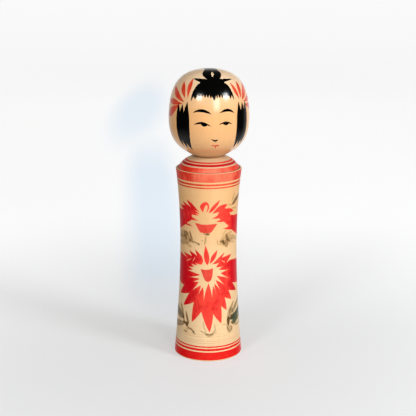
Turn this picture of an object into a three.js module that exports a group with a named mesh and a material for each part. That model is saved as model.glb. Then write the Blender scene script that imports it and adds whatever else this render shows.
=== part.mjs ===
// Kokeshi doll in the Naruko manner: a turned wooden body, and a turned head that is locked in it and turns.
// Units are millimetres. The doll stands on Z = 0 with its axis on +Z, and its face looks towards -Y.
// Each piece is one outline, radius against height, turned about the axis as on the lathe.
import * as THREE from "three";

// Driving dimensions
const dollHeight = 242;
const baseRadius = 28.6;
const rimRadius = 27.2;
const rimHeight = 160.9;
const headRadius = 33;
const headWidestHeight = 202;
const neckRadius = 12.4;
const runningGap = 0.3; // between the head's tenon and its socket, all round

// Body: the flank narrows to a waist and flares again to the rim
const baseChamfer = 0.8;
const rimRounding = 0.7;
const lowerFlankPull = 24.2; // radii that draw the flank in, a third and two thirds of the way up
const upperFlankPull = 20.8;

// Body: a groove inside the rim, then the domed shoulder
const grooveOuterRadius = 26;
const grooveDepth = 0.6;
const domeArcRadius = 17.8;
const domeCentreRadius = 9.4;
const domeCentreHeight = 152.8;
const mouthEdge = 0.7; // width of the rounded edge between the dome and the socket's mouth

// Head: the tenon is flared at its end, so that it stays in the undercut socket
const tenonEnd = 148;
const tenonChamfer = 0.8;
const tenonFlare = 0.7;
const flareTop = 151.5;
const flareTaper = 3;

// Head: the underside rises from the neck to the cheek, and the crown is flatter than a ball
const undersideHeight = 171;
const undersideReach = 8.1;
const undersideRise = 4.8;
const cheekDrop = 21.8;
const crownRise = 30;
const crownReach = 22;

// Fineness of the turned surfaces
const sidesRound = 72;
const stepsPerCurve = 10;

// The body's outline runs from the middle of the base, up the outside and down into the socket.
function bodyOutline() {
  const flankTop = rimHeight - rimRounding;
  const flankRise = flankTop - baseChamfer;
  const grooveFloor = rimHeight - grooveDepth;
  const mouthRadius = neckRadius + runningGap;
  const undercutRadius = mouthRadius + tenonFlare;
  const socketFloor = tenonEnd - runningGap;
  const domeFootAngle = Math.asin((grooveFloor - domeCentreHeight) / domeArcRadius);
  const domeTopAngle = Math.acos((mouthRadius + mouthEdge - domeCentreRadius) / domeArcRadius);
  const domeTop = domeCentreHeight + domeArcRadius * Math.sin(domeTopAngle);

  const outline = new THREE.Path();
  outline.moveTo(0, 0);
  outline.lineTo(baseRadius - baseChamfer, 0);
  outline.lineTo(baseRadius, baseChamfer);
  outline.bezierCurveTo(
    lowerFlankPull,
    baseChamfer + flankRise / 3,
    upperFlankPull,
    baseChamfer + (flankRise * 2) / 3,
    rimRadius,
    flankTop,
  );
  outline.quadraticCurveTo(rimRadius, rimHeight, rimRadius - rimRounding, rimHeight);
  outline.lineTo(grooveOuterRadius, rimHeight);
  outline.lineTo(grooveOuterRadius, grooveFloor);
  outline.absarc(domeCentreRadius, domeCentreHeight, domeArcRadius, domeFootAngle, domeTopAngle, false);
  outline.quadraticCurveTo(mouthRadius, domeTop, mouthRadius, domeTop - mouthEdge);
  outline.lineTo(mouthRadius, flareTop + flareTaper + runningGap);
  outline.lineTo(undercutRadius, flareTop + runningGap);
  outline.lineTo(undercutRadius, socketFloor);
  outline.lineTo(0, socketFloor);
  return outline;
}

// The head's outline runs from the tenon's end, up the neck and the cheek and over the crown.
function headOutline() {
  const flareRadius = neckRadius + tenonFlare;
  const outline = new THREE.Path();
  outline.moveTo(0, tenonEnd);
  outline.lineTo(flareRadius - tenonChamfer, tenonEnd);
  outline.lineTo(flareRadius, tenonEnd + tenonChamfer);
  outline.lineTo(flareRadius, flareTop);
  outline.lineTo(neckRadius, flareTop + flareTaper);
  outline.lineTo(neckRadius, undersideHeight);
  outline.bezierCurveTo(
    neckRadius + undersideReach,
    undersideHeight + undersideRise,
    headRadius,
    headWidestHeight - cheekDrop,
    headRadius,
    headWidestHeight,
  );
  outline.bezierCurveTo(
    headRadius,
    headWidestHeight + crownRise,
    crownReach,
    dollHeight,
    0,
    dollHeight,
  );
  return outline;
}

// Turns an outline about the doll's axis. LatheGeometry turns about Y, so the piece is then stood up on Z.
function turnedPiece(name, outline, material) {
  const geometry = new THREE.LatheGeometry(outline.getPoints(stepsPerCurve), sidesRound);
  geometry.rotateX(Math.PI / 2);
  const mesh = new THREE.Mesh(geometry, material);
  mesh.name = name;
  return mesh;
}

const waxedWood = new THREE.MeshStandardMaterial({ color: 0xe9bf8c, roughness: 0.5, metalness: 0 });
const polishedWood = new THREE.MeshStandardMaterial({ color: 0xe8b880, roughness: 0.25, metalness: 0 });

const doll = new THREE.Group();
doll.name = "kokeshi_doll";
doll.add(turnedPiece("body", bodyOutline(), waxedWood));
doll.add(turnedPiece("head", headOutline(), polishedWood));

export default doll;
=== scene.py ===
"""Looks of the kokeshi doll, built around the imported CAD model.

The two turned pieces are smooth lathe surfaces that replace the faceted CAD nodes. The painting is a set of
thin films on them, so that every brush mark keeps its crisp edge, and soft washes for the leaves.

Sizes and places on the doll are in millimetres, and become metres when a mesh is made or a material built.
Angles on it are in degrees about its axis, measured from the front and positive towards +X.
"""
import math
import random
from collections import namedtuple

import bpy
import numpy as np
from mathutils import Euler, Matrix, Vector, kdtree
from mathutils.geometry import delaunay_2d_cdt, interpolate_bezier


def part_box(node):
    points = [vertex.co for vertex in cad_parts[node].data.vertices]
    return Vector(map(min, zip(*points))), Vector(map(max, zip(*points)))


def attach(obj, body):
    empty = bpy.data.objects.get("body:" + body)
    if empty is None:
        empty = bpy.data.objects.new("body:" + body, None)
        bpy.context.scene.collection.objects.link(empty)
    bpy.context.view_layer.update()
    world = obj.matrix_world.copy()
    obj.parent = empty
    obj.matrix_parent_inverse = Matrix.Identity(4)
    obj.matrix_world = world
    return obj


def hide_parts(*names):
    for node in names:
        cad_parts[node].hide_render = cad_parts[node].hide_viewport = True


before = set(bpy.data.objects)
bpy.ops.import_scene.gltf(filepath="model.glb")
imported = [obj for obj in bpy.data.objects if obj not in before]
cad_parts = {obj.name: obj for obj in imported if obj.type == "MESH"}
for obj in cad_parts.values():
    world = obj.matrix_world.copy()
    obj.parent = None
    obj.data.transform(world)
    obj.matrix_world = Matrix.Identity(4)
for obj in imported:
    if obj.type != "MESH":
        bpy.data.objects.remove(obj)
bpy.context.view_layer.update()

MM = 0.001

# ---- sizes
body_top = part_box("body")[1]
head_bottom, head_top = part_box("head")

BASE_RADIUS = body_top.x / MM
HEAD_RADIUS = head_top.x / MM
DOLL_HEIGHT = head_top.z / MM
TENON_END = head_bottom.z / MM

# Body, as in the CAD outline
RIM_RADIUS = 27.2
RIM_HEIGHT = 160.9
RIM_ROUNDING = 0.7
BASE_CHAMFER = 0.8
LOWER_FLANK_PULL = 24.2
UPPER_FLANK_PULL = 20.8
GROOVE_OUTER_RADIUS = 26.0
GROOVE_DEPTH = 0.6
DOME_ARC_RADIUS = 17.8
DOME_CENTRE_RADIUS = 9.4
DOME_CENTRE_HEIGHT = 152.8
NECK_RADIUS = 12.4
RUNNING_GAP = 0.3
MOUTH_EDGE = 0.7

# Head, as in the CAD outline
TENON_CHAMFER = 0.8
TENON_FLARE = 0.7
FLARE_TOP = 151.5
FLARE_TAPER = 3.0
HEAD_WIDEST = 202.0
UNDERSIDE_HEIGHT = 171.0
UNDERSIDE_REACH = 8.1
UNDERSIDE_RISE = 4.8
CHEEK_DROP = 21.8
CROWN_RISE = 30.0
CROWN_REACH = 22.0

# Painting
FILM_LIFT = 0.03  # how far a film of paint stands proud of the wood, and reaches into it
KNOT_LIFT = 0.035
WASH_LIFT = 0.015
THINNEST_LINE = 0.02
FILM_MESH = 1.0  # spacing of a film's inner vertices
WASH_MESH = 0.4
HEAD_YAW = 8.4  # the head is turned a little towards +X, and the hair and face with it


# ---- turning
SHARP_EDGE = math.radians(30)
NOTHING = 1e-6  # a length or weight that counts as none


def curve(start, pull_a, pull_b, end, steps):
    """Points of a cubic curve from start to end, in the outline's plane."""
    knots = [Vector((x, y, 0.0)) for x, y in (start, pull_a, pull_b, end)]
    return [(p.x, p.y) for p in interpolate_bezier(*knots, steps)]


def arc(centre, radius, start_angle, end_angle, steps):
    """Points of a round stretch of an outline."""
    return [
        (centre[0] + radius * math.cos(a), centre[1] + radius * math.sin(a))
        for a in np.linspace(start_angle, end_angle, steps)
    ]


def flank_outline():
    """The body's side, from the base's edge up to the rim's edge."""
    low, high = BASE_CHAMFER, RIM_HEIGHT - RIM_ROUNDING
    third = (high - low) / 3
    pulls = (LOWER_FLANK_PULL, low + third), (UPPER_FLANK_PULL, high - third)
    return curve((BASE_RADIUS, low), *pulls, (RIM_RADIUS, high), steps=150)


def rim_edge(end_angle):
    """The rounded edge of the rim, from its side up to an angle in radians."""
    centre = (RIM_RADIUS - RIM_ROUNDING, RIM_HEIGHT - RIM_ROUNDING)
    return arc(centre, RIM_ROUNDING, 0, end_angle, 8)


def dome_outline():
    """The shoulder, from the groove's floor up to the edge of the socket's mouth."""
    centre = (DOME_CENTRE_RADIUS, DOME_CENTRE_HEIGHT)
    foot = math.asin((RIM_HEIGHT - GROOVE_DEPTH - DOME_CENTRE_HEIGHT) / DOME_ARC_RADIUS)
    top = math.acos((NECK_RADIUS + RUNNING_GAP + MOUTH_EDGE - DOME_CENTRE_RADIUS) / DOME_ARC_RADIUS)
    return arc(centre, DOME_ARC_RADIUS, foot, top, 36)


def body_outline():
    """The body's section, from the middle of the base, up the outside and down into the socket."""
    mouth = NECK_RADIUS + RUNNING_GAP
    undercut = mouth + TENON_FLARE
    dome = dome_outline()
    lip_centre = (mouth + MOUTH_EDGE, dome[-1][1] - MOUTH_EDGE)
    return [
        (0, 0),
        *arc((BASE_RADIUS - BASE_CHAMFER, BASE_CHAMFER), BASE_CHAMFER, -math.pi / 2, 0, 8),
        *flank_outline()[1:-1],
        *rim_edge(math.pi / 2),
        (GROOVE_OUTER_RADIUS, RIM_HEIGHT),
        (GROOVE_OUTER_RADIUS, RIM_HEIGHT - GROOVE_DEPTH),
        *dome,
        *arc(lip_centre, MOUTH_EDGE, math.pi / 2, math.pi, 8)[1:],
        (mouth, FLARE_TOP + FLARE_TAPER + RUNNING_GAP),
        (undercut, FLARE_TOP + RUNNING_GAP),
        (undercut, TENON_END - RUNNING_GAP),
        (0, TENON_END - RUNNING_GAP),
    ]


def cheek_outline():
    """The head's skin from the neck up to its widest point."""
    start = (NECK_RADIUS, UNDERSIDE_HEIGHT)
    pull = (NECK_RADIUS + UNDERSIDE_REACH, UNDERSIDE_HEIGHT + UNDERSIDE_RISE)
    return curve(start, pull, (HEAD_RADIUS, HEAD_WIDEST - CHEEK_DROP), (HEAD_RADIUS, HEAD_WIDEST), 60)


def crown_outline():
    """The head's skin from its widest point up to the top."""
    start, end = (HEAD_RADIUS, HEAD_WIDEST), (0.0, DOLL_HEIGHT)
    return curve(start, (HEAD_RADIUS, HEAD_WIDEST + CROWN_RISE), (CROWN_REACH, DOLL_HEIGHT), end, 90)


def head_outline():
    """The head's section, from the tenon's end up the neck and over the skin."""
    flare = NECK_RADIUS + TENON_FLARE
    return [
        (0, TENON_END),
        (flare - TENON_CHAMFER, TENON_END),
        (flare, TENON_END + TENON_CHAMFER),
        (flare, FLARE_TOP),
        (NECK_RADIUS, FLARE_TOP + FLARE_TAPER),
        *cheek_outline(),
        *crown_outline()[1:],
    ]


def new_object(name, vertices, faces):
    """An object from vertices in millimetres."""
    mesh = bpy.data.meshes.new(name)
    mesh.from_pydata([Vector(v) * MM for v in vertices], [], faces)
    obj = bpy.data.objects.new(name, mesh)
    bpy.context.scene.collection.objects.link(obj)
    return obj


def turned(name, outline, sides=240):
    """A closed outline turned about the axis. Its first and last points may lie on the axis."""
    vertices, rings = [], []
    for radius, height in outline:
        if radius < NOTHING:
            rings.append([len(vertices)])
            vertices.append((0.0, 0.0, height))
            continue
        rings.append(list(range(len(vertices), len(vertices) + sides)))
        for a in np.linspace(0, math.tau, sides, endpoint=False):
            vertices.append((radius * math.cos(a), radius * math.sin(a), height))
    pairs = list(zip(rings, rings[1:]))
    if len(rings[0]) > 1:
        pairs.append((rings[-1], rings[0]))
    faces = []
    for low, high in pairs:
        for i in range(sides):
            j = (i + 1) % sides
            corners = [low[i % len(low)], low[j % len(low)], high[j % len(high)], high[i % len(high)]]
            faces.append(list(dict.fromkeys(corners)))
    obj = new_object(name, vertices, faces)
    obj.data.shade_smooth()
    obj.data.set_sharp_from_angle(angle=SHARP_EDGE)
    return obj


# ---- charts
def outward_normals(outline):
    """Unit normals on the right of an outline, which is the outside where it runs up a skin."""
    slope = np.gradient(np.array(outline, float), axis=0)
    normals = np.column_stack((slope[:, 1], -slope[:, 0]))
    return normals / np.linalg.norm(normals, axis=1)[:, None]


class WrapChart:
    """A turned skin laid flat: an angle in degrees across, and a height or a length of outline up.

    Flat points are in millimetres at one reference radius, so brush marks keep their shape there."""

    def __init__(self, body, outline, ups, radius, yaw=0.0):
        self.body = body
        self.points = np.array(outline, float)
        self.normals = outward_normals(outline)
        self.ups = np.array(ups, float)
        self.mm_per_degree = math.radians(radius)
        self.yaw = yaw

    def flat(self, point):
        return Vector((point[0] * self.mm_per_degree, point[1]))

    def flats(self, points):
        return [self.flat(point) for point in points]

    def radius(self, up):
        return np.interp(up, self.ups, self.points[:, 0])

    def front(self, point):
        """A flat point from its place across in millimetres, as seen from straight in front."""
        across, up = point
        return self.flat((math.degrees(math.asin(across / self.radius(up))), up))

    def place(self, flat, lift):
        """Places and outward normals on the skin, raised by lift."""
        flat = np.asarray(flat, float)
        turn = np.radians(flat[:, 0] / self.mm_per_degree + self.yaw)
        radius, height, out, rise = (
            np.interp(flat[:, 1], self.ups, column) for column in (*self.points.T, *self.normals.T)
        )
        normals = np.column_stack((out * np.sin(turn), -out * np.cos(turn), rise))
        places = np.column_stack((radius * np.sin(turn), -radius * np.cos(turn), height))
        return places + lift * normals, normals


class PlanChart:
    """The crown of the head as seen from above: flat points are millimetres across and behind the axis."""

    def __init__(self, body, outline, yaw):
        self.body = body
        self.points = np.array(outline[::-1], float)
        self.normals = outward_normals(outline)[::-1]
        self.yaw = math.radians(yaw)

    def flat(self, point):
        return Vector(point)

    def place(self, flat, lift):
        flat = np.asarray(flat, float)
        radius = np.hypot(flat[:, 0], flat[:, 1])
        height, out, rise = (
            np.interp(radius, self.points[:, 0], column) for column in (self.points[:, 1], *self.normals.T)
        )
        towards = flat / np.maximum(radius, NOTHING)[:, None]
        turn = np.array(
            [[math.cos(self.yaw), math.sin(self.yaw)], [-math.sin(self.yaw), math.cos(self.yaw)]]
        )
        normals = np.column_stack(((out[:, None] * towards) @ turn, rise))
        places = np.column_stack((flat @ turn, height))
        return places + lift * normals, normals


def outline_lengths(outline):
    """How far along an outline each of its points lies."""
    steps = np.hypot(*np.diff(np.array(outline), axis=0).T)
    return np.concatenate(([0.0], np.cumsum(steps)))


def head_chart():
    """The head's skin by length of outline above its widest point."""
    cheek, crown = cheek_outline(), crown_outline()
    ups = outline_lengths(cheek + crown[1:])
    return WrapChart("head", cheek + crown[1:], ups - ups[len(cheek) - 1], HEAD_RADIUS, HEAD_YAW)


def body_chart():
    """The body's flank by height."""
    outline = flank_outline()
    waist = min(radius for radius, height in outline)
    return WrapChart("body", outline, [height for radius, height in outline], waist)


# ---- brush marks
def petal(chart, root, tip, width, bend=0.0, belly=0.5, fullness=1.0, steps=30):
    """A brush mark that is pointed at both ends: widest at belly, bowed to its left by bend.

    A low fullness keeps it near its full width for most of its length."""
    start, end = chart.flat(root), chart.flat(tip)
    left = Vector((start.y - end.y, end.x - start.x)).normalized()
    power = math.log(0.5) / math.log(belly)
    sides = [], []
    for t in np.linspace(0, 1, steps + 1):
        middle = start.lerp(end, t) + left * bend * 4 * t * (1 - t)
        half = 0.5 * width * max(math.sin(math.pi * t**power), 0.0) ** fullness
        sides[0].append(middle + left * half)
        sides[1].append(middle - left * half)
    return sides[0] + sides[1][-2:0:-1]


def smooth(values, steps):
    """A smooth run through values, with steps between each two."""
    values = np.array(values, float)
    ends = np.concatenate(([2 * values[0] - values[1]], values, [2 * values[-1] - values[-2]]))
    run = []
    for i in range(len(values) - 1):
        before, here, there, after = ends[i : i + 4]
        for t in np.linspace(0, 1, steps, endpoint=False):
            straight = (there - before) * t
            square = (2 * before - 5 * here + 4 * there - after) * t**2
            cube = (3 * here - before - 3 * there + after) * t**3
            run.append(0.5 * (2 * here + straight + square + cube))
    run.append(values[-1])
    return np.array(run)


def stroke(chart, marks, steps=8):
    """A brush line through a few places, each given with the brush's full width there."""
    line = smooth([chart.flat(mark) for mark in marks], steps)
    widths = smooth([mark[2:] for mark in marks], steps)[:, 0]
    halves = np.maximum(widths, THINNEST_LINE) / 2
    along = np.gradient(line, axis=0)
    left = np.column_stack((-along[:, 1], along[:, 0])) / np.linalg.norm(along, axis=1)[:, None]
    one, other = line + left * halves[:, None], line - left * halves[:, None]
    return [Vector(p) for p in (*one, *other[::-1])]


def rounded(points, steps=8):
    """A closed outline that runs smoothly through its points."""
    loop = [points[-1], *points, points[0], points[1]]
    return [Vector(p) for p in smooth(loop, steps)[steps:-steps - 1]]


def inside(loop, points):
    """Which points lie inside a closed outline."""
    result = np.zeros(len(points), bool)
    for (x1, y1), (x2, y2) in zip(loop, loop[1:] + loop[:1]):
        if y1 == y2:
            continue
        crosses = (points[:, 1] < y1) != (points[:, 1] < y2)
        reach = x1 + (points[:, 1] - y1) * (x2 - x1) / (y2 - y1)
        result ^= crosses & (points[:, 0] < reach)
    return result


def covered(points, shapes, holes):
    """Which points lie in some shape and in no hole."""
    result = np.zeros(len(points), bool)
    for shape in shapes:
        result |= inside(shape, points)
    for hole in holes:
        result &= ~inside(hole, points)
    return result


def fill(shapes, holes, spacing):
    """Triangles that fill the union of the shapes, and how far each point lies from an outline."""
    loops = [[(p.x, p.y) for p in loop] for loop in (*shapes, *holes)]
    corners = [p for loop in loops for p in loop]
    faces, start = [], 0
    for loop in loops:
        faces.append(list(range(start, start + len(loop))))
        start += len(loop)
    near = kdtree.KDTree(len(corners))
    for i, (x, y) in enumerate(corners):
        near.insert((x, y, 0.0), i)
    near.balance()
    low, high = np.min(corners, axis=0), np.max(corners, axis=0)
    rows = np.arange(low[1], high[1], spacing)
    grid = np.array([(x, y) for y in rows for x in np.arange(low[0], high[0], spacing)])
    grid = grid[covered(grid, loops[: len(shapes)], loops[len(shapes) :])] if len(grid) else grid
    inner = [(x, y) for x, y in grid if near.find((x, y, 0.0))[2] > spacing / 3]
    points, _, triangles, *_ = delaunay_2d_cdt(
        [Vector(p) for p in corners + inner], [], faces, 0, 1e-4, False
    )
    flat = np.array([tuple(p) for p in points])
    triangles = np.array([tuple(t) for t in triangles])
    kept = covered(flat[triangles].mean(axis=1), loops[: len(shapes)], loops[len(shapes) :])
    triangles = triangles[kept]
    used, triangles = np.unique(triangles, return_inverse=True)
    flat = flat[used]
    depth = [near.find((x, y, 0.0))[2] for x, y in flat]
    return flat, triangles.reshape(-1, 3), depth


def shell(name, chart, flat, triangles, lift):
    """A thin closed film: a painted face just outside the wood, a hidden one just inside, and its edge."""
    one = flat[triangles[:, 1]] - flat[triangles[:, 0]]
    other = flat[triangles[:, 2]] - flat[triangles[:, 0]]
    turns_right = one[:, 0] * other[:, 1] < one[:, 1] * other[:, 0]
    triangles = np.where(turns_right[:, None], triangles[:, ::-1], triangles)
    count = len(flat)
    outer, normals = chart.place(flat, lift)
    inner, _ = chart.place(flat, -lift)
    edges = {(a, b) for t in triangles.tolist() for a, b in zip(t, t[1:] + t[:1])}
    rim = [(a, b) for a, b in sorted(edges) if (b, a) not in edges]
    faces = triangles.tolist() + (triangles[:, ::-1] + count).tolist()
    faces += [[b, a, a + count, b + count] for a, b in rim]
    obj = new_object(name, np.concatenate((outer, inner)), faces)
    mesh = obj.data
    smooth_faces = 2 * len(triangles)
    mesh.polygons.foreach_set("use_smooth", [i < smooth_faces for i in range(len(faces))])
    both = np.concatenate((normals, -normals))
    custom = [
        tuple(both[mesh.loops[i].vertex_index]) if face.index < smooth_faces else (0.0, 0.0, 0.0)
        for face in mesh.polygons
        for i in face.loop_indices
    ]
    mesh.normals_split_custom_set(custom)
    return obj


def paint_attribute(obj, label, values):
    """A value for each vertex of a shell, the same on its two faces."""
    layer = obj.data.attributes.new(label, "FLOAT", "POINT")
    layer.data.foreach_set("value", np.concatenate((values, values)))


def paint(name, chart, shapes, material, holes=(), lift=FILM_LIFT):
    """Painted shapes joined into one thin film on the chart's skin."""
    flat, triangles, depth = fill(shapes, list(holes), FILM_MESH)
    obj = shell(name, chart, flat, triangles, lift)
    paint_attribute(obj, "depth", depth)
    return dress(obj, material, chart.body)


def ring(name, outline, lift=FILM_LIFT):
    """A painted ring: a thin turned film on the stretch of outline given."""
    line, normals = np.array(outline, float), outward_normals(outline)
    outer, inner = line + lift * normals, line - lift * normals
    return turned(name, [*outer, *inner[::-1]])


def between(outline, low, high):
    """The stretch of an outline between two heights."""
    points = np.array(outline)
    radii = [float(np.interp(h, points[:, 1], points[:, 0])) for h in (low, high)]
    inner = [(r, h) for r, h in outline if low < h < high]
    return [(radii[0], low), *inner, (radii[1], high)]


def bowed(points, bow, closed=True):
    """An outline through points whose every side swells to its right by bow times its length."""
    ends = points[1:] + points[:1] if closed else points[1:]
    run = []
    for start, end in zip(points, ends):
        side = end - start
        right = Vector((side.y, -side.x))
        steps = max(2, round(side.length / FILM_MESH))
        for t in np.linspace(0, 1, steps, endpoint=False):
            run.append(start + side * t + right * bow * 4 * t * (1 - t))
    return run if closed else [*run, points[-1]]


# ---- materials
def colour(red, green, blue):
    """A linear colour from screen values between 0 and 255."""
    linear = [
        v / 12.92 if v <= 0.04045 else ((v + 0.055) / 1.055) ** 2.4
        for v in (red / 255, green / 255, blue / 255)
    ]
    return (*linear, 1.0)


# Bare wood
PALE_WOOD = colour(249, 221, 178)
WARM_WOOD = colour(234, 183, 126)
FACE_WOOD = colour(237, 179, 121)
# paler, greyer wood on the crown, partly a painted sheen of the light from above
CROWN_WOOD_AND_SHEEN = colour(230, 202, 168)
# greyer wood of the shoulder, darkened as painted shade under the head
GREY_AND_SHADED_WOOD = colour(196, 169, 139)
# dark grime at the head's joint, and painted shade under the head
JOINT_GRIME_AND_SHADE = colour(112, 66, 34)
WORN_WOOD = colour(196, 130, 74)

# Dyes and ink, each at full strength and then worn or watered thin; the thin colour also carries the dyes'
# painted sheen on the front
BASE_DYE = colour(234, 14, 18), colour(236, 44, 38)
TOP_DYE = colour(222, 52, 34), colour(248, 126, 98)
LINE_DYE = colour(168, 10, 18), colour(214, 4, 28)
FINE_DYE = colour(204, 32, 30), colour(238, 92, 66)
# painted shade: a dark film in the groove under the rim stands in for its shadow
GROOVE_SHADE = colour(92, 40, 26), colour(128, 66, 40)
PETAL_DYE = colour(214, 4, 28), colour(250, 74, 62)
CUP_DYE = colour(226, 62, 50), colour(236, 92, 76)
SPRAY_DYE = colour(206, 44, 28), colour(226, 88, 60)
LIP_DYE = colour(206, 44, 30), colour(232, 84, 64)
TWIG_DYE = colour(56, 34, 8), colour(164, 110, 44)
LEAF_DYE = colour(20, 46, 36), colour(96, 120, 78)
INK = colour(2, 2, 2), colour(7, 6, 5)

PAPER = colour(172, 172, 172)
SPOTTED_PAPER = colour(168, 168, 169)
LIT_PAPER = (1.0, 1.0, 1.0, 1.0)  # what the paper makes of its own light
SHADED_PAPER = (0.74, 0.85, 0.95, 1.0)  # and in the doll's broad shadow

# Heights between which the wood changes, in millimetres
WAIST_WARMS = 15, 130
BASE_MARKS_START = 34, 16
DOME_STARTS = 159, 162
DOME_ENDS = 172, 169
HEAD_STARTS = 170.3, 170.5
# where the grime and painted shade under the head fade out
NECK_GRIME_AND_SHADE_ENDS = 171.3, 173.4
CHEEK_STARTS = 171, 180
CROWN_STARTS = 210, 236

# Dye: it is paler where the skin faces far towards the front, a painted sheen of the front lights, and pools
# deep inside a mark
SHEEN_FACING = (0.2, -0.98, 0.0)
SHEEN_STARTS = 16 * MM, 25 * MM
POOL_DEPTH = 4.5


def add_node(tree, kind, sockets=None, **settings):
    """A node whose sockets are linked where the value is another socket, and set where it isn't."""
    made = tree.nodes.new("ShaderNode" + kind)
    for key, value in settings.items():
        setattr(made, key, value)
    for name, value in (sockets or {}).items():
        if isinstance(value, bpy.types.NodeSocket):
            tree.links.new(value, made.inputs[name])
        else:
            made.inputs[name].default_value = value
    return made


def blend_colours(tree, factor, one, other, kind="MIX"):
    mixed = add_node(tree, "MixRGB", {"Fac": factor, "Color1": one, "Color2": other}, blend_type=kind)
    return mixed.outputs["Color"]


def grain(tree, scale, detail=3.0, roughness=0.6, offset=(0.0, 0.0, 0.0)):
    """Noise over the object's own place. scale counts the features in a millimetre along X, Y and Z."""
    sockets = {"Vector": object_place(tree), "Scale": [s / MM for s in scale], "Location": offset}
    stretched = add_node(tree, "Mapping", sockets).outputs["Vector"]
    sockets = {"Vector": stretched, "Scale": 1.0, "Detail": detail, "Roughness": roughness}
    return add_node(tree, "TexNoise", sockets).outputs["Fac"]


def between_values(tree, value, low, high, to_low=0.0, to_high=1.0, smooth_ends=False):
    """value stretched so that low to high becomes to_low to to_high, and held at both ends."""
    sockets = {"Value": value, "From Min": low, "From Max": high, "To Min": to_low, "To Max": to_high}
    kind = "SMOOTHSTEP" if smooth_ends else "LINEAR"
    return add_node(tree, "MapRange", sockets, interpolation_type=kind).outputs["Result"]


def maths(tree, operation, *values):
    return add_node(tree, "Math", dict(enumerate(values)), operation=operation).outputs[0]


def times(tree, one, other):
    return maths(tree, "MULTIPLY", one, other)


def plus(tree, one, other):
    return maths(tree, "ADD", one, other)


def measure(tree, operation, *vectors):
    """One number worked out from vectors, such as a length or a dot product."""
    return add_node(tree, "VectorMath", dict(enumerate(vectors)), operation=operation).outputs["Value"]


def object_place(tree):
    return add_node(tree, "TexCoord").outputs["Object"]


def height_above_base(tree):
    """Height on the doll in millimetres."""
    metres = add_node(tree, "SeparateXYZ", {"Vector": object_place(tree)}).outputs["Z"]
    return times(tree, metres, 1 / MM)


def growth_rings(tree):
    """Rings of growth about a pith that lies outside the doll, so its flanks show long wandering lines."""
    sockets = {"Vector": object_place(tree), "Location": (0.047, 0.083, 0.0), "Scale": (1.0, 1.0, 0.06)}
    pith = add_node(tree, "Mapping", sockets).outputs["Vector"]
    sockets = {"Vector": pith, "Scale": 62.0, "Distortion": 1.6, "Detail": 2.0, "Detail Scale": 0.7}
    wave = add_node(tree, "TexWave", sockets, wave_type="RINGS", rings_direction="Z", wave_profile="SAW")
    return wave.outputs["Fac"]


def wood_tone():
    """The node group for the bare wood, which the dyes and washes also show through them. It paints a sheen
    on the crown and shade on the shoulder and under the head.
    """
    group = bpy.data.node_groups.new("wood_tone", "ShaderNodeTree")
    for name, kind in (("Color", "NodeSocketColor"), ("Height", "NodeSocketFloat")):
        group.interface.new_socket(name=name, in_out="OUTPUT", socket_type=kind)
    up = height_above_base(group)
    clouds = grain(group, (0.03, 0.03, 0.015), 2.0)
    warmth = plus(group, between_values(group, up, *WAIST_WARMS, -0.25, 0.4), clouds)
    tone = blend_colours(group, warmth, PALE_WOOD, WARM_WOOD)
    # the shoulder greys, and darkens as painted shade under the head
    on_dome = times(group, between_values(group, up, *DOME_STARTS), between_values(group, up, *DOME_ENDS))
    tone = blend_colours(group, times(group, on_dome, 0.85), tone, GREY_AND_SHADED_WOOD)
    tone = blend_colours(group, between_values(group, up, *CHEEK_STARTS, 0.0, 0.8), tone, FACE_WOOD)
    # the crown pales: greyer wood, partly a painted sheen of the light from above
    tone = blend_colours(group, between_values(group, up, *CROWN_STARTS, 0.0, 0.85), tone, CROWN_WOOD_AND_SHEEN)
    # the head darkens towards the neck: dark grime at the joint, and painted shade where the head turns
    # under
    on_head = between_values(group, up, *HEAD_STARTS)
    grime_and_shade = times(group, on_head, between_values(group, up, *NECK_GRIME_AND_SHADE_ENDS, 0.7, 0.0))
    tone = blend_colours(group, grime_and_shade, tone, JOINT_GRIME_AND_SHADE)
    rings = growth_rings(group)
    tone = blend_colours(group, times(group, rings, 0.06), tone, WORN_WOOD)
    fibres = grain(group, (1.6, 1.6, 0.05), 4.0)
    tone = blend_colours(group, between_values(group, fibres, 0.52, 0.78, 0.0, 0.16), tone, WORN_WOOD)
    marks = grain(group, (0.012, 0.012, 1.7), 3.0, 0.75)
    near_base = between_values(group, up, *BASE_MARKS_START, 0.10, 0.62)
    darker = times(group, between_values(group, marks, 0.48, 0.72), near_base)
    tone = blend_colours(group, darker, tone, WORN_WOOD)
    height = plus(group, times(group, fibres, 0.5), marks)
    result = group.nodes.new("NodeGroupOutput")
    group.links.new(tone, result.inputs["Color"])
    group.links.new(height, result.inputs["Height"])
    return group


# How smooth and rough a finish is, how strongly it reflects, and the depth of its grain in millimetres
Gloss = namedtuple("Gloss", "smoothest roughest level grain")
BODY_GLOSS = Gloss(0.36, 0.46, 0.14, 0.03)
HEAD_GLOSS = Gloss(0.12, 0.18, 0.5, 0.02)
INK_SHINE = 0.56  # the ink's reflections beside those of the wood under it


def new_material(name, **constants):
    """A material with an empty tree but for its shader, and the shader's constant values."""
    made = bpy.data.materials.new(name)
    made.use_nodes = True
    tree = made.node_tree
    shader = tree.nodes["Principled BSDF"]
    for socket, value in constants.items():
        shader.inputs[socket.replace("_", " ")].default_value = value
    return made, tree, shader


def apply_finish(tree, shader, gloss, tone, height):
    """Gives a shader its colour, and a gloss that varies a little from place to place over a fine relief."""
    tree.links.new(tone, shader.inputs["Base Color"])
    spots = grain(tree, (0.25, 0.25, 0.25), 4.0)
    roughness = between_values(tree, spots, 0.3, 0.7, gloss.smoothest, gloss.roughest)
    tree.links.new(roughness, shader.inputs["Roughness"])
    bump = add_node(tree, "Bump", {"Height": height, "Distance": gloss.grain * MM, "Strength": 1.0})
    tree.links.new(bump.outputs["Normal"], shader.inputs["Normal"])


def wood_nodes(tree, group):
    made = tree.nodes.new("ShaderNodeGroup")
    made.node_tree = group
    return made.outputs["Color"], made.outputs["Height"]


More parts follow.
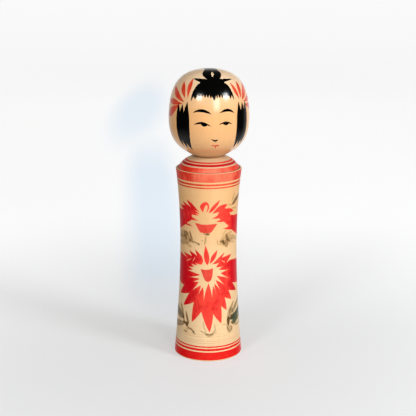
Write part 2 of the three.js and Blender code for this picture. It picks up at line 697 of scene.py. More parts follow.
def wood_material(name, group, gloss):
    made, tree, shader = new_material(name, Specular_IOR_Level=gloss.level)
    tone, height = wood_nodes(tree, group)
    apply_finish(tree, shader, gloss, tone, height)
    return made


def dye_material(name, group, gloss, dye, bare=0.0, pools=0.0, front_sheen=0.0):
    """Dye soaked into the wood: it thins along the fibres, and it is paler on the front as a painted sheen
    of the front lights.

    Bare specks of wood may show, and it may pool towards the inside of a mark."""
    made, tree, shader = new_material(name, Specular_IOR_Level=gloss.level)
    wood, height = wood_nodes(tree, group)
    clouds = grain(tree, (0.16, 0.16, 0.09), 3.0, offset=(3.1, 0.7, 1.9))
    threads = grain(tree, (2.2, 2.2, 0.16), 3.0, offset=(5.3, 2.2, 0.4))
    thinning_and_sheen = plus(tree, times(tree, clouds, 0.6), times(tree, threads, 0.4))
    # painted sheen: the dye is paler on the side facing the front lights
    if front_sheen:
        forward = measure(tree, "DOT_PRODUCT", object_place(tree), SHEEN_FACING)
        thinning_and_sheen = plus(tree, thinning_and_sheen, between_values(tree, forward, *SHEEN_STARTS, -front_sheen, front_sheen))
    if pools:
        depth = add_node(tree, "Attribute", attribute_name="depth").outputs["Fac"]
        thinning_and_sheen = plus(tree, thinning_and_sheen, between_values(tree, depth, 0.0, POOL_DEPTH, pools, -pools))
    tone = blend_colours(tree, between_values(tree, thinning_and_sheen, 0.36, 0.66), *dye)
    tone = blend_colours(tree, 0.22, tone, wood, kind="MULTIPLY")
    if bare:
        specks = grain(tree, (1.9, 1.9, 1.9), 2.0, offset=(7.7, 1.3, 4.1))
        tone = blend_colours(tree, between_values(tree, specks, 0.72, 0.76, 0.0, bare), tone, wood)
    apply_finish(tree, shader, gloss, tone, height)
    return made


def ink_material(name, gloss):
    """Thick black ink with the trace of the brush's hairs."""
    made, tree, shader = new_material(name, Specular_IOR_Level=INK_SHINE * gloss.level)
    hairs = grain(tree, (1.7, 1.7, 0.12), 3.0, offset=(1.4, 8.2, 3.3))
    tone = blend_colours(tree, between_values(tree, hairs, 0.45, 0.75), *INK)
    apply_finish(tree, shader, gloss, tone, hairs)
    return made


def wash_material(name, group, gloss):
    """Watered dye, from nothing at its edge to near black where the brush stopped."""
    made, tree, shader = new_material(name, Specular_IOR_Level=gloss.level)
    wood, height = wood_nodes(tree, group)
    ink = add_node(tree, "Attribute", attribute_name="ink").outputs["Fac"]
    cool = add_node(tree, "Attribute", attribute_name="cool").outputs["Fac"]
    threads = grain(tree, (1.1, 1.1, 0.22), 3.0, offset=(2.6, 6.1, 0.9))
    strength = times(tree, ink, between_values(tree, threads, 0.3, 0.7, 0.82, 1.12))
    warm = blend_colours(tree, strength, *reversed(TWIG_DYE))
    green = blend_colours(tree, strength, *reversed(LEAF_DYE))
    tone = blend_colours(tree, cool, warm, green)
    cover = between_values(tree, strength, 0.0, 0.8, 0.0, 0.96)
    apply_finish(tree, shader, gloss, blend_colours(tree, cover, wood, tone), height)
    return made


def make_materials():
    """Every material by its name."""
    wood = wood_tone()
    made = {
        "body_wood": wood_material("body_wood", wood, BODY_GLOSS),
        "head_wood": wood_material("head_wood", wood, HEAD_GLOSS),
        "hair_ink": ink_material("hair_ink", HEAD_GLOSS),
        "leaf_wash": wash_material("leaf_wash", wood, BODY_GLOSS),
    }
    # front_sheen paints the dye paler on the front as a painted sheen; bare and pools are real wear and
    # pooling
    for name, gloss, dye, wear_and_sheen in (
        ("base_red", BODY_GLOSS, BASE_DYE, {"bare": 0.8, "front_sheen": 0.06}),
        ("top_red", BODY_GLOSS, TOP_DYE, {"bare": 0.5, "front_sheen": 0.12}),
        ("line_red", BODY_GLOSS, LINE_DYE, {}),
        ("fine_red", BODY_GLOSS, FINE_DYE, {"front_sheen": 0.12}),
        ("groove_painted_shade", BODY_GLOSS, GROOVE_SHADE, {}),
        ("petal_red", BODY_GLOSS, PETAL_DYE, {"pools": 0.08, "front_sheen": 0.15}),
        ("cup_red", BODY_GLOSS, CUP_DYE, {}),
        ("head_red", HEAD_GLOSS, SPRAY_DYE, {"pools": 0.06}),
        ("lip_red", HEAD_GLOSS, LIP_DYE, {}),
    ):
        made[name] = dye_material(name, wood, gloss, dye, **wear_and_sheen)
    return made


materials = make_materials()


def dress(obj, material, body):
    """Gives a piece its material, and fixes it to a body of the frame."""
    obj.data.materials.clear()
    obj.data.materials.append(materials[material])
    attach(obj, body)
    return obj


# ---- the wood
def turn_wood():
    """The two turned pieces."""
    body = dress(turned("body_wood", body_outline()), "body_wood", "body")
    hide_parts("body")
    head = dress(turned("head_wood", head_outline()), "head_wood", "head")
    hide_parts("head")


def paint_rings():
    """The bands and lines that are laid on while the body turns on the lathe, and a dark film of painted
    shade in the groove.
    """
    flank, dome = flank_outline(), dome_outline()
    rim = [*flank[:-1], *rim_edge(1.2)]
    for name, outline, low, high, material in (
        ("ring_base_band", flank, 1.0, 7.8, "base_red"),
        ("ring_base_line", flank, 9.0, 10.9, "base_red"),
        ("ring_base_fine", flank, 11.9, 13.0, "base_red"),
        ("ring_top_fine", flank, 148.0, 149.2, "fine_red"),
        ("ring_top_line", flank, 150.3, 151.9, "fine_red"),
        ("ring_top_band", rim, 153.3, 160.6, "top_red"),
        # painted shade, not dye: the groove's shadow
        ("ring_groove", dome, 160.33, 161.0, "groove_painted_shade"),
        ("ring_dome_band", dome, 161.0, 164.3, "top_red"),
        ("ring_dome_line", dome, 165.25, 166.75, "line_red"),
        ("ring_dome_fine", dome, 167.35, 168.25, "fine_red"),
    ):
        dress(ring(name, between(outline, low, high)), material, "body")


# ---- the head
def paint_hair(skin):
    """The fringe with its tie, the bun on the crown, and the lock at each side."""
    tie_left = [(-6.2, 37.5), (-10, 37.7), (-16.6, 37.5), (-12.7, 35.1), (-10.3, 33.8)]
    side_left = [(-10.3, 33.8), (-12.9, 31), (-14.8, 28.3), (-16.5, 25), (-17.6, 21.5), (-18.4, 17.6)]
    fringe = [
        (-18.4, 17.6), (-16.2, 21.6), (-15.2, 19.4), (-13.2, 22.9), (-11.5, 21.6), (-10.5, 23.3),
        (-9.5, 21.7), (-8.4, 23.4), (-7.5, 20.5), (-6.4, 23.5), (-5.4, 20.7), (-4.1, 23.5),
        (-3.1, 20.2), (-2.2, 22.2), (-0.2, 18.4), (1, 22.8), (2.3, 20.2), (2.7, 23.6),
        (4.2, 20.4), (5, 23.5), (6.4, 20.2), (7.2, 23), (8.3, 21.2), (9.4, 23),
        (10.8, 21.6), (12, 22.2), (13, 19.6), (14.2, 22.2), (16.2, 18),
    ]
    side_right = [
        (16.2, 18), (15.8, 20.5), (15, 23.5), (13.8, 26.5), (12.3, 29.5), (10.5, 31.8), (8.5, 33.6),
    ]
    tie_right = [(8.5, 33.6), (12.5, 34.8), (18, 35.9), (13, 36.8), (9, 37.3), (4.9, 37.5)]

    def on_skin(points):
        return [skin.front(p) for p in points]

    def soft(points):
        return [Vector(p) for p in smooth(on_skin(points), 4)]

    fringe_edge = bowed(on_skin(fringe), 0.05, closed=False)
    edge = [*on_skin(tie_left)[:-1], *soft(side_left)[:-1], *fringe_edge[:-1], *soft(side_right)[:-1]]
    edge += on_skin(tie_right)
    paint("hair_fringe", skin, [edge], "hair_ink")

    crown = PlanChart("head", crown_outline(), HEAD_YAW)
    bun = rounded([
        (1, -23.6), (-4.2, -21.8), (-7.2, -17.6), (-7.4, -13.8), (-6.4, -10.4), (-5, -7), (-4, -3),
        (-3.6, 3), (-2.3, 8), (0.8, 10.5), (3.8, 8), (5.2, 3), (5.5, -3), (5.9, -7),
        (6.8, -10.4), (7.4, -13.8), (7, -17.4), (5, -21.6),
    ])
    opening = petal(crown, (-0.2, -19.6), (0.7, -11.8), 2.2)
    paint("hair_bun", crown, [bun], "hair_ink", [opening], lift=KNOT_LIFT)

    locks = {
        "left": [
            [(-57.3, 15, 0.3), (-56.9, 11, 2.8), (-56.8, 4, 4),
             (-56.6, -6, 4.2), (-56.2, -15.5, 3.4), (-55.4, -21.8, 0.3)],
            [(-49.6, 14.6, 0.3), (-49.6, 11, 2.8), (-50.4, 4, 5.6),
             (-50.5, -8, 5.4), (-49, -17, 3.8), (-47.4, -23.6, 0.2)],
            [(-41, 16.8, 0.3), (-41.8, 11, 3.6), (-42, 4, 6.2),
             (-41.9, -8, 6.2), (-41.6, -17.5, 4.4), (-39.6, -25.2, 0.2)],
        ],
        "right": [
            [(38.8, 16.6, 0.3), (39, 12, 2.9), (39, 5, 5.6),
             (38.6, -6, 5.4), (39, -15.5, 4.2), (39.6, -24.2, 0.2)],
            [(47.2, 15.6, 0.3), (47, 12, 3.4), (46.4, 6, 5.6),
             (46, -6, 5.4), (46.3, -14.5, 4.6), (46.6, -21.5, 0.2)],
            [(54.8, 15.8, 0.3), (54.4, 12, 3.2), (54.3, 5, 4.8),
             (54, -5, 4.8), (53.6, -14, 4.4), (52.8, -21.5, 0.2)],
        ],
    }
    for side, tresses in locks.items():
        paint("hair_lock_" + side, skin, [stroke(skin, tress) for tress in tresses], "hair_ink")


def paint_face(skin):
    """Brows, narrow eyes, nose and mouth, each a stroke or two of a fine brush."""
    lines = dict(
        brow_left=[(-31, 8.9, 0.2), (-25, 10.3, 1.6), (-18, 10.7, 2.4), (-10.5, 9.6, 1.7), (-4.5, 7.9, 0.1)],
        brow_right=[(6.8, 8.9, 0.2), (12, 10.2, 1.7), (18, 10.8, 2.3), (24, 10, 1.7), (29.6, 8.1, 0.1)],
        eye_left=[(-29.5, -0.6, 0.2), (-24, 0.6, 1.3), (-17.5, 1, 1.7), (-11, -0.1, 1.2), (-5.3, -1.7, 0.1)],
        eye_right=[(5.2, -0.6, 0.2), (10, 0.7, 1.1), (15.3, 1.2, 1.5), (20.5, 0.7, 1.2), (25.3, -0.5, 0.1)],
        nose=[(-5.4, -12.1, 0.1), (-2, -13.3, 1.1), (1.2, -13.8, 1.6), (3.6, -13.3, 1.2), (5.4, -12.8, 0.2)],
    )
    pupils = {
        "eye_left": petal(skin, (-19.8, 0.3), (-10.6, -0.7), 2.2, bend=-0.4, fullness=0.7),
        "eye_right": petal(skin, (11, 0.4), (20.2, 0.4), 2.2, bend=-0.4, fullness=0.7),
    }
    for name, line in lines.items():
        shapes = [stroke(skin, line)]
        if name in pupils:
            shapes.append(pupils[name])
        paint("face_" + name, skin, shapes, "hair_ink")
    upper_lip = [(-5.2, -18.1, 0.2), (-1, -18.6, 1.2), (2, -18.9, 1.4), (5, -18.6, 1.7), (8.4, -18.4, 0.3)]
    lower_lip = [(2, -18.6, 2), (2.4, -20, 1.1), (3, -22.3, 0.1)]
    paint("face_mouth", skin, [stroke(skin, upper_lip), stroke(skin, lower_lip)], "lip_red")


def paint_head_petals(skin):
    """The red spray above each ear."""
    marks = {
        "left": [
            petal(skin, (-41.8, 19.3), (-43.6, 37.4), 4.7, belly=0.58),
            petal(skin, (-46, 19.4), (-62, 33.4), 4.8, belly=0.55),
            petal(skin, (-46.4, 16.2), (-85, 28.6), 4.9, bend=0.5, belly=0.52),
            petal(skin, (-49, 14.9), (-88, 15.8), 4.8, belly=0.6, fullness=0.8),
            petal(skin, (-55, 14.2), (-88, 2.6), 6.4, belly=0.6, fullness=0.8),
        ],
        "right": [
            petal(skin, (42.2, 18.4), (32.6, 33.4), 3.7, belly=0.5),
            petal(skin, (45.6, 18.6), (51.4, 33.8), 4.5, belly=0.55),
            petal(skin, (48.2, 17.4), (82, 32.6), 5.8, bend=0.5, belly=0.45),
            petal(skin, (52.5, 16), (92, 19.6), 4.6, belly=0.5, fullness=0.8),
            petal(skin, (55.5, 13.4), (91, 8.2), 5, belly=0.5, fullness=0.8),
        ],
    }
    for side, shapes in marks.items():
        for number, shape in enumerate(shapes, 1):
            paint(f"spray_{side}_{number}", skin, [shape], "head_red")


# ---- the flowers
def paint_upper_flower(skin):
    """The half-open flower: a cup, a looped petal over it, and a fan of petals at each side."""
    cup = bowed(skin.flats([
        (-27.5, 118.6), (-23, 115.5), (-16.5, 110.9), (-8, 110.6), (4.8, 110.9), (11.8, 114.9),
        (17.3, 118.3), (8, 118.1), (-2.3, 117.7), (-14, 117.7),
    ]), 0.02)
    paint("flower_upper_cup", skin, [cup], "cup_red")

    outer = rounded(skin.flats([
        (-11.2, 128.5), (-14.6, 130.4), (-16.3, 132.6), (-13.6, 135.2), (-7, 137), (-1.6, 136.3),
        (0.9, 133.6), (0.3, 131), (-2.3, 128.9), (-5, 128),
    ]))
    slit = rounded(skin.flats([
        (-9.8, 129), (-8.2, 131.8), (-6, 133.8), (-3.6, 134.6), (-2, 133.2), (-2.3, 131.2),
        (-3.9, 128.9), (-5.6, 126.6), (-8.8, 126.8),
    ]))
    paint("flower_upper_loop", skin, [outer], "petal_red", [slit])

    thin = {
        "left": petal(skin, (-16.8, 127.9), (-46, 137.6), 3, bend=0.5, belly=0.55),
        "right": petal(skin, (0.2, 127.4), (22.5, 138.8), 2.9, bend=-0.1, belly=0.45),
    }
    for side, shape in thin.items():
        paint("flower_upper_feather_" + side, skin, [shape], "petal_red")

    left = [
        bowed(skin.flats([
            (-69, 131.3), (-56, 128), (-96, 125.8), (-88, 123.2), (-110, 119.5), (-91, 117.5),
            (-108, 112.5), (-90, 111.5), (-100, 106.5), (-84, 109.2), (-66, 112.2),
            (-50, 116.4), (-47.5, 117.4), (-34.5, 121), (-34, 123.6), (-36, 130), (-48, 131.8),
        ]), 0.02),
        petal(skin, (-16.6, 126.2), (-59, 135), 3.4, bend=0.4, belly=0.5),
        petal(skin, (-18, 124.9), (-50, 128.6), 3.2, belly=0.6),
        petal(skin, (-18.6, 120.5), (-58, 124.4), 3.2, belly=0.6),
        petal(skin, (-30.6, 115), (-60, 116.4), 1.5, bend=-0.5, belly=0.6),
    ]
    paint("flower_upper_fan_left", skin, left, "petal_red")

    right = [
        bowed(skin.flats([
            (33, 131), (24, 130.6), (17.5, 125.6), (20.5, 122.8), (31.5, 119.4), (42, 115.6), (43, 113.4),
            (53.8, 110.9), (80, 104.6), (104, 100.8), (92, 106), (112, 107.8), (94, 111.4),
            (110, 115.5), (90, 116.6), (100, 120.4), (57, 123.3), (46.5, 124.5),
            (44, 128.4),
        ]), 0.02),
        petal(skin, (6.8, 126.9), (38.5, 134), 4.6, bend=0.5, belly=0.55),
        petal(skin, (5.2, 122.6), (40, 126.6), 3.6, belly=0.6),
        petal(skin, (12.5, 119.9), (44, 121.6), 2.8, belly=0.6),
        petal(skin, (26, 128.6), (57, 127.1), 4, bend=0.5, belly=0.5),
        petal(skin, (29.5, 113.7), (62, 112), 2.8, bend=0.2, belly=0.55),
    ]
    paint("flower_upper_fan_right", skin, right, "petal_red")


def paint_lower_flower(skin):
    """The open flower: a lens above, a shield in the middle, and one mass of petals round it."""
    lens = petal(skin, (-1.9, 83.3), (-5.9, 100), 4.5, belly=0.38)
    paint("flower_lower_lens", skin, [lens], "petal_red")
    shield = rounded(skin.flats([
        (-14.9, 79.5), (-15, 79.2), (-12.4, 76), (-8.6, 71.7), (-4.5, 69.3), (0.5, 68.8), (5, 70.4),
        (8, 73.9), (9.1, 80.1), (9, 80.4), (3, 79.6), (-5, 79.1),
    ]))
    paint("flower_lower_shield", skin, [shield], "cup_red")
    feather = petal(skin, (2.6, 84), (18, 95.8), 3.4, belly=0.5)
    paint("flower_lower_feather", skin, [feather], "petal_red")

    petals = [
        (-27.5, 95.9), (-22.8, 90.4), (-42, 94.4), (-34.5, 89.7), (-60, 91.2), (-47.5, 87.9),
        (-86, 89.5), (-80, 84.5), (-98, 80), (-86, 76), (-99, 70), (-80, 68.5), (-84.5, 65.3),
        (-56.3, 62.6), (-69.5, 54.4), (-40, 57.3), (-55, 45.3), (-28.8, 50.2), (-31.7, 32.8),
        (-12.8, 43), (2.7, 25.2), (9.5, 41), (24.8, 32.2), (25.3, 47.2), (37.2, 43),
        (33.4, 54.2), (50.4, 51.2), (43.6, 59.8), (70, 56.8), (55.6, 65), (97, 62), (86, 71),
        (100, 75), (86, 77.5), (98, 81), (60, 85), (50, 85.4), (39, 84), (52.8, 90.2),
        (27.5, 88.7), (34.6, 93.3),
    ]
    heart = [
        (7.6, 83.8), (21.5, 84.6), (15.4, 81.1), (31, 81.2), (20.6, 79), (42.8, 77.5), (25, 75.6),
        (46.5, 69.8), (16.4, 73.8), (34, 65), (14.6, 70.2), (25.4, 60.4), (12, 67.2),
        (16, 57.2), (9.6, 65.2), (7.9, 54.6), (0.3, 67.8), (-8.8, 51.6), (-10.4, 64.4), (-21.8, 55),
        (-14.4, 65.6), (-33, 60.3), (-19, 68.2), (-30.6, 68), (-17, 71.2), (-41, 71.2),
        (-16, 74.5), (-46.5, 76.8), (-31.8, 78.2), (-44, 80), (-29.8, 80.7), (-36.5, 83),
        (-21.8, 82.5), (-27.6, 84.2), (-13.4, 83.4), (-10.2, 86.6), (-13, 90.5),
    ]
    mass = bowed(skin.flats(petals + heart), 0.03)
    gaps = [
        petal(skin, (-27, 89.6), (-33.5, 84.8), 0.5),
        petal(skin, (-36, 87.6), (-50, 84.4), 0.5),
        petal(skin, (27, 86.6), (36, 84.2), 0.5),
    ]
    paint("flower_lower_petals", skin, [mass], "petal_red", gaps)


# ---- the leaves
STREAKS = 5  # waves of paler and darker ink across one touch
STREAK_DEPTH = 0.25
SOFT_EDGE = 0.45  # share of a touch's half width over which its ink dies away
FAINTEST_INK = 0.004


class Touch:
    """One touch of the wet brush: a line through points, its widest width, and how dark and green it is."""

    def __init__(self, points, width, ink, cool=0.0, seed=0):
        self.points, self.width, self.ink, self.cool = points, width, ink, cool
        draw = random.Random(seed)
        self.streaks = [(draw.uniform(2.0, 7.0), draw.uniform(0, math.tau)) for _ in range(STREAKS)]

    def lay(self, chart):
        """The line's flat points, with the half width at each."""
        line = smooth(chart.flats(self.points), 10)
        t = np.linspace(0.02, 0.98, len(line))
        return line, 0.5 * self.width * np.sin(math.pi * t) ** 0.5

    def cover(self, chart, flat):
        """How much of its ink each flat point gets."""
        line, halves = self.lay(chart)
        gaps = np.linalg.norm(flat[:, None, :] - line[None, :, :], axis=2)
        reach = gaps / halves[None, :]
        nearest = reach.argmin(axis=1)
        edge = reach[np.arange(len(flat)), nearest]
        body = np.clip((1.0 - edge) / SOFT_EDGE, 0.0, 1.0)
        body = body * body * (3 - 2 * body)
        along = nearest / len(line)
        trace = sum(np.sin(edge * rate + phase + along * 2.0) for rate, phase in self.streaks) / STREAKS
        return self.ink * body * (1.0 + STREAK_DEPTH * trace)


def wash(name, chart, touches):
    """A patch of skin that carries the ink of several touches, trimmed to where there is any."""
    lines = [touch.lay(chart) for touch in touches]
    low = np.min([(line - halves[:, None]).min(axis=0) for line, halves in lines], axis=0) - WASH_MESH
    high = np.max([(line + halves[:, None]).max(axis=0) for line, halves in lines], axis=0) + WASH_MESH
    columns, rows = (np.ceil((high - low) / WASH_MESH) + 1).astype(int)
    flat = np.array([low + WASH_MESH * np.array((i, j)) for j in range(rows) for i in range(columns)])
    covers = np.clip([touch.cover(chart, flat) for touch in touches], 0.0, 1.0)
    ink = 1 - np.prod(1 - covers, axis=0)
    cool = np.average([[touch.cool] * len(flat) for touch in touches], axis=0, weights=covers + NOTHING)
    triangles = []
    for j in range(rows - 1):
        for i in range(columns - 1):
            a = j * columns + i
            b, c, d = a + 1, a + columns + 1, a + columns
            if max(ink[a], ink[b], ink[c], ink[d]) > FAINTEST_INK:
                triangles += [(a, b, c), (a, c, d)]
    used, triangles = np.unique(np.array(triangles), return_inverse=True)
    obj = shell(name, chart, flat[used], triangles.reshape(-1, 3), WASH_LIFT)
    paint_attribute(obj, "ink", ink[used])
    paint_attribute(obj, "cool", cool[used])
    return dress(obj, "leaf_wash", chart.body)


def paint_leaves(skin):
    """The soft leaves and twigs round the flowers."""
    wash("leaf_upper_left", skin, [
        Touch([(-84, 103), (-66, 106), (-46, 108.5)], 8.5, 0.34, 0.2, 1),
        Touch([(-80, 98), (-60, 100), (-38, 102.5)], 6.5, 0.40, 0.1, 2),
        Touch([(-55, 110), (-53, 106.5), (-51, 103)], 4.6, 0.50, 0, 3),
        Touch([(-50.5, 110.2), (-45, 106.8), (-36, 102.2)], 4, 0.46, 0, 4),
        Touch([(-41.5, 111), (-38, 107.5), (-32, 101.5)], 2.3, 0.64, 0, 5),
        Touch([(-41, 103.8), (-37, 102.4)], 3, 0.50, 0, 6),
        Touch([(-36, 101.6), (-28, 102), (-17.2, 99.9)], 1.8, 0.62, 0, 7),
        Touch([(-22, 101.3), (-18, 100.4)], 2, 0.62, 0, 8),
        Touch([(-52, 100), (-44, 98.6), (-37, 97.5)], 3.4, 0.34, 0, 9),
        Touch([(-80, 104), (-60, 104.5), (-44, 104)], 5, 0.30, 0.1, 55),
    ])
    wash("leaf_upper_right", skin, [
        Touch([(25, 103), (35, 105.5), (52, 109.5)], 6.5, 0.36, 0, 10),
        Touch([(44, 104.8), (56, 104.6), (74, 101.5)], 5, 0.40, 0.1, 11),
        Touch([(40, 104), (38.5, 100.5), (39.5, 97.5)], 5.2, 0.48, 0, 12),
        Touch([(37.5, 109), (41, 104.5), (49, 101.3)], 3.4, 0.60, 0, 13),
        Touch([(29.5, 103.6), (33, 99.8)], 3, 0.70, 0, 14),
        Touch([(22.5, 103.5), (29, 101.8)], 2.6, 0.42, 0, 15),
        Touch([(28, 107.5), (34, 110.5), (38, 112)], 1.8, 0.34, 0, 16),
        Touch([(17.5, 105), (18.3, 102.5), (19, 99.5)], 1.4, 0.36, 0, 17),
        Touch([(52, 101), (66, 99.5)], 2.4, 0.30, 0.1, 18),
        Touch([(22, 101), (38, 101), (56, 103)], 7, 0.26, 0, 56),
    ])
    wash("leaf_bud_right", skin, [
        Touch([(52, 133.2), (64, 136.3), (84, 140.5)], 5, 0.62, 0.2, 19),
        Touch([(60, 135.4), (72, 139)], 3, 0.62, 0.15, 20),
        Touch([(41, 133.3), (50, 132.9), (62, 133.6)], 1.8, 0.40, 0, 21),
        Touch([(57, 142.5), (53, 138.5), (50, 136)], 2.2, 0.36, 0, 22),
        Touch([(46, 129.6), (58, 129.4), (70, 128.7)], 1.5, 0.46, 0, 23),
    ])
    wash("leaf_stem", skin, [
        Touch([(-10, 110), (-4, 110), (2.5, 109.6)], 3, 0.50, 0, 24),
        Touch([(-4, 109.8), (0.5, 109.2)], 2.6, 0.50, 0, 25),
        Touch([(-4.5, 109), (-6, 104.5), (-7.8, 100)], 1.8, 0.46, 0, 26),
        Touch([(-13.2, 104.2), (-11.6, 103.8)], 1.3, 0.50, 0, 27),
    ])
    wash("leaf_lower_left", skin, [
        Touch([(-96, 40.5), (-78, 38.5), (-54, 35)], 11, 0.72, 0.25, 28),
        Touch([(-65, 46), (-58, 41), (-50, 32)], 3.8, 0.66, 0.1, 29),
        Touch([(-96, 25.5), (-72, 27.5), (-50, 30)], 7, 0.62, 0.15, 30),
        Touch([(-46.5, 41), (-43, 36), (-40.2, 32), (-42, 29)], 2.8, 0.66, 0, 31),
        Touch([(-52, 31.8), (-46.5, 30.4)], 3, 0.84, 0, 32),
        Touch([(-43.5, 31.5), (-42.5, 28.4)], 3.4, 0.92, 0, 33),
        Touch([(-43, 28.6), (-37.5, 27.2), (-31, 26.2), (-23.5, 22.4)], 1.9, 0.66, 0, 34),
        Touch([(-29, 25.6), (-25.5, 23.6)], 2, 0.72, 0, 35),
        Touch([(-50, 24.2), (-45, 23.6), (-40.5, 24)], 2.6, 0.48, 0.05, 36),
        Touch([(-44, 26.6), (-38, 25.4)], 2, 0.34, 0, 37),
    ])
    wash("leaf_lower_right", skin, [
        Touch([(57.5, 48.5), (49.5, 44.5), (43.5, 40), (40.3, 34), (40, 29.5)], 4.4, 0.54, 0, 38),
        Touch([(41, 37), (40.2, 29.5)], 3.6, 0.88, 0, 39),
        Touch([(36.5, 30.5), (38.5, 26.2), (42.5, 23.6), (48.8, 26), (47, 28.5)], 2.6, 0.50, 0.1, 40),
        Touch([(40.5, 28.5), (46.5, 25.4)], 5.2, 0.40, 0.1, 41),
        Touch([(26, 31), (36, 31)], 1.4, 0.30, 0, 42),
        Touch([(50, 39.5), (62, 43.5), (96, 52)], 5, 0.66, 0.55, 43),
        Touch([(46, 34.5), (64, 36.5), (96, 42)], 7.6, 0.86, 1, 44),
        Touch([(47, 31.2), (66, 32.2), (96, 35.5)], 4.6, 0.76, 1, 45),
        Touch([(48, 30.2), (55, 29.6), (63, 30.4)], 2.4, 0.74, 0.1, 46),
        Touch([(49, 38), (45, 34)], 3, 0.54, 0, 47),
        Touch([(46, 44), (49, 40), (52, 35)], 6, 0.34, 0.3, 54),
        Touch([(56, 28.2), (70, 27.6), (92, 29)], 3.4, 0.46, 0.6, 48),
    ])
    wash("leaf_foot", skin, [
        Touch([(-15, 26.6), (-7, 24.8), (3, 23)], 1.8, 0.42, 0.2, 49),
        Touch([(1, 23), (8, 24.4), (13, 27.5), (11, 33)], 1.7, 0.40, 0.1, 50),
        Touch([(-5, 23.5), (2, 22.8), (9, 23.6)], 3.2, 0.50, 0.2, 51),
        Touch([(-9.5, 35), (-7.5, 29.5), (-3, 25)], 1.5, 0.34, 0.1, 52),
        Touch([(8, 23.8), (17, 25.4)], 1.6, 0.28, 0.1, 53),
    ])


# ---- the studio
# The paper under and behind the doll, in millimetres
FLOOR_REACH = 1600.0
WALL_RADIUS = 2900.0
WALL_TOP = 3200.0

# Places on the paper, in metres from the doll: where its own glow is weakest, and the doll's broad shadow
GLOW_CENTRE = (0.0, -0.1, 0.0)
SHADOW_LEAN = 0.075  # how far the strip drifts towards -X for each metre back
SHADOW_OFFSET = 0.034  # how far it lies towards -X at the doll
SHADOW_CORE, SHADOW_EDGE = 0.01, 0.055  # half widths of its dark middle and of all of it
SHADOW_STARTS = 0.06, 0.22
SHADOW_ENDS = 1.1, 0.7
HEAD_SHADOW_PLACE = (2.0, -2.6, 0.0)
HEAD_SHADOW_SCALE = (14.0, 2.0, 1.0)


def shadow_behind(tree, place):
    """How far each place of the paper lies in the doll's broad shadow: a strip, and the head's spot."""
    across = measure(tree, "DOT_PRODUCT", place, (1.0, SHADOW_LEAN, 0.0))
    aside = maths(tree, "ABSOLUTE", plus(tree, across, SHADOW_OFFSET))
    strip = between_values(tree, aside, SHADOW_CORE, SHADOW_EDGE, 1.0, 0.0, smooth_ends=True)
    back = add_node(tree, "SeparateXYZ", {"Vector": place}).outputs["Y"]
    strip = times(tree, strip, between_values(tree, back, *SHADOW_STARTS))
    strip = times(tree, strip, between_values(tree, back, *SHADOW_ENDS))
    sockets = {"Vector": place, "Location": HEAD_SHADOW_PLACE, "Scale": HEAD_SHADOW_SCALE}
    reach = measure(tree, "LENGTH", add_node(tree, "Mapping", sockets).outputs["Vector"])
    head = between_values(tree, reach, 0.3, 1.1, 0.75, 0.0, smooth_ends=True)
    return maths(tree, "MAXIMUM", strip, head)


def paper_material():
    """White paper with a glow of its own, weakest round the doll's foot."""
    made, tree, shader = new_material("paper", Roughness=0.9)
    spots = grain(tree, (0.006, 0.006, 0.006), 3.0)
    tree.links.new(blend_colours(tree, spots, SPOTTED_PAPER, PAPER), shader.inputs["Base Color"])
    place = object_place(tree)
    away = measure(tree, "DISTANCE", place, GLOW_CENTRE)
    glow = between_values(tree, away, 0.05, 0.6, 0.385, 0.7, smooth_ends=True)
    tree.links.new(plus(tree, glow, times(tree, away, 0.08)), shader.inputs["Emission Strength"])
    tint = blend_colours(tree, shadow_behind(tree, place), LIT_PAPER, SHADED_PAPER)
    tree.links.new(tint, shader.inputs["Emission Color"])
    return made


def build_stage():
    """A pale floor that curves up into a round wall, open above."""
    bend = WALL_RADIUS - FLOOR_REACH
    rise = arc((FLOOR_REACH, bend), bend, -math.pi / 2, 0, 24)
    cove = turned("cove", [(0.0, 0.0), *rise, (WALL_RADIUS, WALL_TOP)], sides=96)
    cove.visible_diffuse = False
    cove.visible_glossy = False
    cove.data.materials.append(paper_material())


def add_light(name, azimuth, elevation, distance, size, power, tint):
    """A soft light aimed at the head, placed by its direction from there."""
    target = Vector((0.0, 0.0, HEAD_WIDEST * MM))
    az, el = math.radians(azimuth), math.radians(elevation)
    offset = Vector((math.sin(az) * math.cos(el), -math.cos(az) * math.cos(el), math.sin(el)))
    data = bpy.data.lights.new(name, "AREA")
    data.shape = "RECTANGLE"
    data.size, data.size_y = size
    data.energy = power
    data.color = tint
    lamp = bpy.data.objects.new(name, data)
    lamp.location = target + offset * distance
    lamp.rotation_euler = offset.to_track_quat("Z", "Y").to_euler()
    lamp.visible_camera = False
    bpy.context.scene.collection.objects.link(lamp)
    return lamp


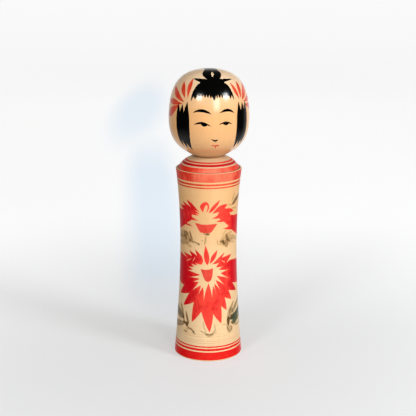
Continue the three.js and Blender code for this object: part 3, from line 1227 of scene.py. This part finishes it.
def light_scene():
    """Three windows, which show in the gloss, and broad fills, which don't."""
    for window in (
        ("right_window", 55, 26, 1.1, (0.28, 0.24), 7.6, (0.94, 0.98, 1.0)),
        ("left_window", -30, 27, 1.1, (0.26, 0.24), 4.6, (0.94, 0.98, 1.0)),
        ("middle_window", 22, 15, 1.1, (0.33, 0.38), 3.6, (1.0, 0.98, 0.96)),
    ):
        add_light(*window)
    for fill_light in (
        ("front_fill", 8, 10, 1.6, (1.0, 1.0), 6.6, (1.0, 0.95, 0.88)),
        ("right_fill", 70, 15, 1.5, (0.7, 0.7), 2.2, (0.84, 0.95, 1.1)),
        ("left_fill", -75, 25, 1.5, (0.7, 0.7), 1.2, (1.0, 0.97, 0.92)),
        ("sky_fill", 0, 88, 1.3, (1.2, 1.2), 2.4, (1.0, 0.98, 0.96)),
        ("back_fill", 180, 30, 1.5, (1.2, 1.0), 2.4, (1.0, 0.98, 0.96)),
    ):
        add_light(*fill_light).visible_glossy = False


def light_room():
    """A dark room in front of the doll, a lit floor below, and a backdrop that is brighter to the right."""
    world = bpy.data.worlds.new("room")
    world.use_nodes = True
    tree = world.node_tree
    direction = add_node(tree, "TexCoord").outputs["Generated"]
    parts = add_node(tree, "SeparateXYZ", {"Vector": direction}).outputs
    floor = between_values(tree, parts["Z"], -0.3, -0.6, 0.03, 0.62)
    backdrop = between_values(tree, parts["X"], -0.4, 0.4, 0.72, 1.02)
    behind = between_values(tree, parts["Y"], 0.4, 0.85)
    low = between_values(tree, parts["Z"], 0.1, 0.5, 1.0, 0.05)
    sky = tree.nodes["Background"]
    sky.inputs["Color"].default_value = (1.0, 0.98, 0.96, 1.0)
    glow = times(tree, times(tree, behind, low), backdrop)
    tree.links.new(plus(tree, floor, glow), sky.inputs["Strength"])
    bpy.context.scene.world = world


def aim_camera():
    """The camera where the photo was taken from, as worked out from its perspective."""
    aside, distance, height = -0.0001, 0.8465, 0.3441
    pitch, yaw, roll = 14.47, 0.027, 0.23
    data = bpy.data.cameras.new("camera")
    data.sensor_width = 36.0
    data.lens = 90.6
    data.clip_start, data.clip_end = 0.05, 50.0
    camera = bpy.data.objects.new("camera", data)
    camera.location = (aside, -distance, height)
    aim = Euler((math.radians(90 - pitch), 0.0, math.radians(yaw))).to_matrix()
    roll_turn = Euler((0.0, 0.0, math.radians(roll))).to_matrix()
    camera.rotation_euler = (aim @ roll_turn).to_euler()
    bpy.context.scene.collection.objects.link(camera)
    bpy.context.scene.camera = camera
    bpy.context.scene.view_settings.view_transform = "Standard"


turn_wood()
paint_rings()
skin = head_chart()
paint_hair(skin)
paint_face(skin)
paint_head_petals(skin)
flank = body_chart()
paint_upper_flower(flank)
paint_lower_flower(flank)
paint_leaves(flank)
build_stage()
light_scene()
light_room()
aim_camera()
